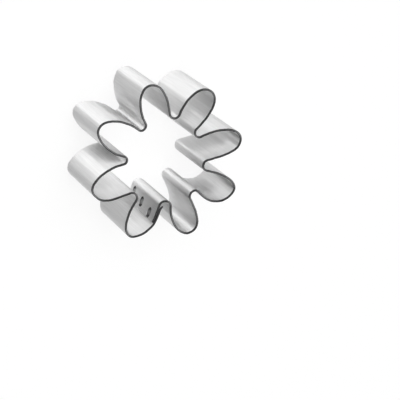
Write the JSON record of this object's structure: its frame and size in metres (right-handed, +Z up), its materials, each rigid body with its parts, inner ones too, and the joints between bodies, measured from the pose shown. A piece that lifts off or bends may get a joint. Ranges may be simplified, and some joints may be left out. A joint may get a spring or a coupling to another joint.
{
  "type": "cookie cutter",
  "caption": "Daisy-shaped cookie cutter: a bent stainless-steel strip whose lapped ends are locked by pressed stitches.",
  "frame": {"origin": "middle of the outline's box, on the plane of the cutting edge", "axes": "+Z up across the strip's width, from the cutting edge to the pressing edge; +X out through a petal, with the lap on the petal towards -X and -Y"},
  "size_m": [0.0516, 0.052, 0.024],
  "materials": {
    "strip_steel": "satin stainless sheet with a fine grain along the strip",
    "stitch_steel": "pressed stainless, duller than the sheet"
  },
  "bodies": {
    "root": {"cutter_band": "strip_steel", "lap_stitch_lower": "stitch_steel", "lap_stitch_middle": "stitch_steel", "lap_stitch_upper": "stitch_steel"}
  },
  "joints": []
}
